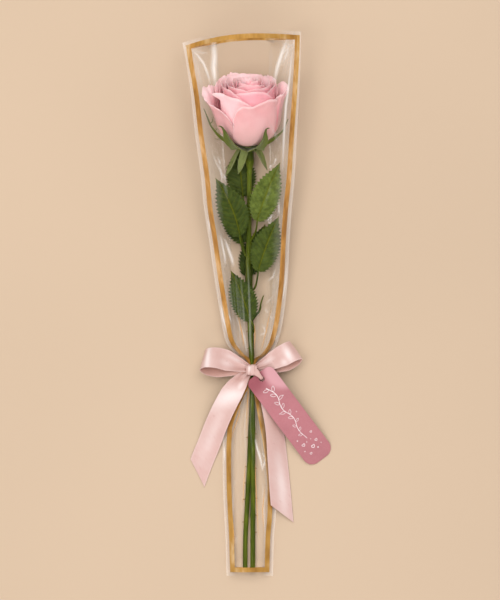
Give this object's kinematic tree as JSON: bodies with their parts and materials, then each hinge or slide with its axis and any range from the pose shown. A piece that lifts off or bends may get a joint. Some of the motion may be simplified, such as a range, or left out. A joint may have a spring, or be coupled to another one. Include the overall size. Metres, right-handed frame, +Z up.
{
  "type": "wrapped single rose",
  "caption": "Long-stemmed rose with leaves in a clear tapered film sleeve, tied at the neck with a satin ribbon bow that carries a plain card tag; it lies flat.",
  "frame": {"origin": "under the middle of the whole object, on the surface it lies on", "axes": "+Y from the cut stems to the flower, +X to the flower's right as seen from above, +Z up"},
  "size_m": [0.1247, 0.4545, 0.07],
  "materials": {
    "petals": "soft matt petals",
    "stem": "satin green stem and leaves",
    "shoot": "satin dark green stem and leaves",
    "film": "clear glossy film with a gold printed border",
    "ribbon": "satin",
    "card": "matt card"
  },
  "bodies": {
    "root": {"bloom": "petals", "rose_stem": "stem", "leafy_shoot": "shoot", "film_sleeve": "film", "ribbon_bow": "ribbon", "gift_tag": "card"}
  },
  "joints": []
}
